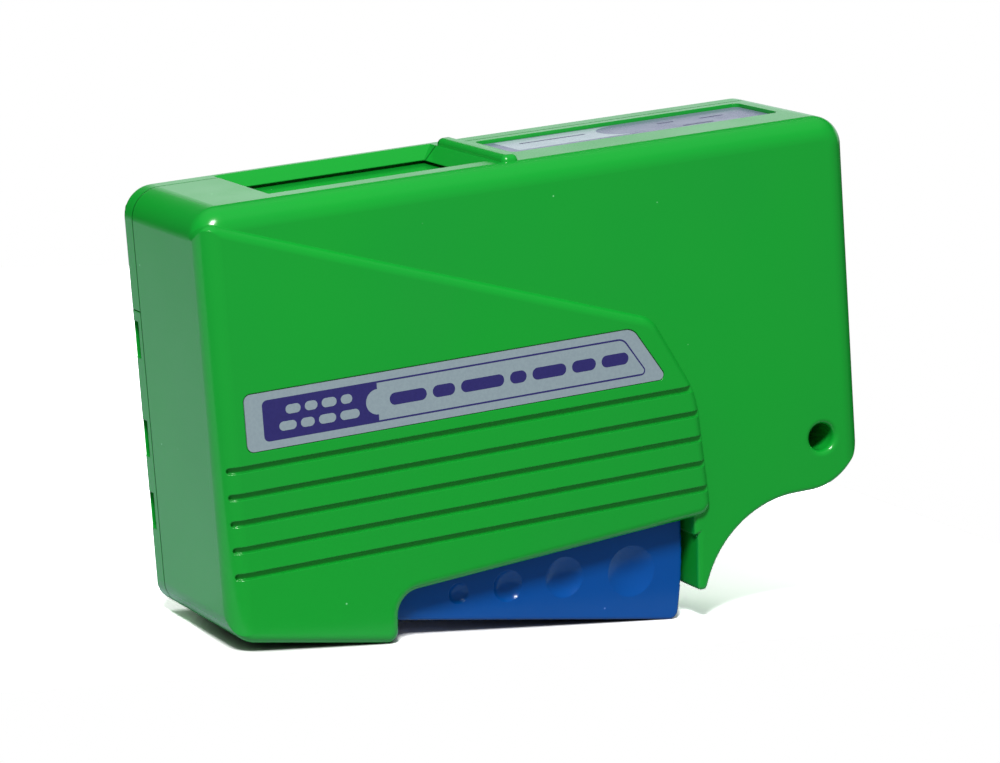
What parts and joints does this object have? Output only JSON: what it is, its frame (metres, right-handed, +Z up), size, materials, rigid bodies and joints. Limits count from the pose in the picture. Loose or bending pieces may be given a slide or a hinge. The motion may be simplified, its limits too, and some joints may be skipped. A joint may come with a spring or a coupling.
{
  "type": "fibre optic cleaning cassette",
  "caption": "Hand-held fibre connector cleaner: snap-together case with grip panel, finger hook, press lever and a sliding shutter over a tape window, with a geared reel mechanism inside.",
  "frame": {"origin": "middle of the footprint, on the table that the foot and the tip of the lever stand on", "axes": "+Z up as it stands, +X along the case towards the finger hook, front grip panel towards -Y"},
  "size_m": [0.124, 0.035, 0.0856],
  "materials": {
    "green_plastic": "glossy moulded plastic",
    "blue_plastic": "satin moulded plastic",
    "silver_label": "printed film",
    "pale_label": "printed film",
    "steel": "drawn wire and rod",
    "dark_plastic": "matt moulded",
    "white_plastic": "natural acetal",
    "pad_rubber": "soft pad",
    "tape_cloth": "fine woven tape",
    "felt": "pressed felt"
  },
  "bodies": {
    "case": {"front_shell": "green_plastic", "front_end_cap": "green_plastic", "rear_cover": "green_plastic", "rear_end_cap": "green_plastic", "front_label": "silver_label", "top_label": "pale_label", "lever_pin": "steel", "return_spring": "steel", "window_plate": "dark_plastic", "pad_holder": "dark_plastic", "wiping_pad": "pad_rubber", "cleaning_tape": "tape_cloth", "supply_brake": "felt"},
    "lever": {"lever": "blue_plastic"},
    "drive": {"drive_gear": "white_plastic"},
    "drive_pawl": {"drive_pawl": "white_plastic"},
    "anti_reverse": {"anti_reverse_pawl": "white_plastic"},
    "take_up": {"take_up_spool": "white_plastic", "take_up_roll": "tape_cloth"},
    "supply": {"supply_spool": "white_plastic", "supply_roll": "tape_cloth"},
    "left_roller": {"left_guide_roller": "white_plastic"},
    "right_roller": {"right_guide_roller": "white_plastic"},
    "shutter": {"shutter": "green_plastic"}
  },
  "joints": [
    {"name": "lever_press", "type": "hinge", "parent": "case", "child": "lever", "pos_m": [-0.04233, 0, 0.00726], "axis": [0, -1, 0], "range_deg": [0, 11.5], "stiffness_Nm_per_rad": 1.75, "springref_deg": -8.02, "deforming": ["return_spring"]},
    {"name": "drive_turn", "type": "hinge", "parent": "case", "child": "drive", "pos_m": [-0.02466, 0, 0.0458], "axis": [0, 1, 0], "range_deg": [0, 75.6]},
    {"name": "take_up_turn", "type": "hinge", "parent": "case", "child": "take_up", "pos_m": [-0.02466, 0, 0.0458], "axis": [0, 1, 0], "range_deg": [0, 75.6]},
    {"name": "supply_turn", "type": "hinge", "parent": "case", "child": "supply", "pos_m": [0.02826, 0, 0.05456], "axis": [0, -1, 0], "range_deg": [0, 40.4]},
    {"name": "left_roller_turn", "type": "hinge", "parent": "case", "child": "left_roller", "pos_m": [-0.04957, 0, 0.0641], "axis": [0, -1, 0], "range_deg": [0, 241.9]},
    {"name": "right_roller_turn", "type": "hinge", "parent": "case", "child": "right_roller", "pos_m": [-0.01287, 0, 0.06878], "axis": [0, -1, 0], "range_deg": [0, 241.9]},
    {"name": "shutter_slide", "type": "slide", "parent": "case", "child": "shutter", "axis": [0.992, 0, 0.1264], "range_m": [0, 0.0277]},
    {"name": "drive_pawl_rock", "type": "hinge", "parent": "drive", "child": "drive_pawl", "pos_m": [-0.03481, 0, 0.0547], "axis": [0, -1, 0], "range_deg": [0, 12], "stiffness_Nm_per_rad": 0.002, "springref_deg": -17.19},
    {"name": "anti_reverse_rock", "type": "hinge", "parent": "case", "child": "anti_reverse", "pos_m": [-0.04244, 0, 0.03664], "axis": [0, -1, 0], "range_deg": [0, 12], "stiffness_Nm_per_rad": 0.002, "springref_deg": -17.19}
  ],
  "couplings": [
    {"joint": "drive_turn", "follows": "lever_press", "ratio": 6.5714},
    {"joint": "take_up_turn", "follows": "lever_press", "ratio": 6.5714},
    {"joint": "supply_turn", "follows": "lever_press", "ratio": 3.5048},
    {"joint": "left_roller_turn", "follows": "lever_press", "ratio": 21.029},
    {"joint": "right_roller_turn", "follows": "lever_press", "ratio": 21.029},
    {"joint": "shutter_slide", "follows": "lever_press", "m_per_rad": 0.138}
  ]
}
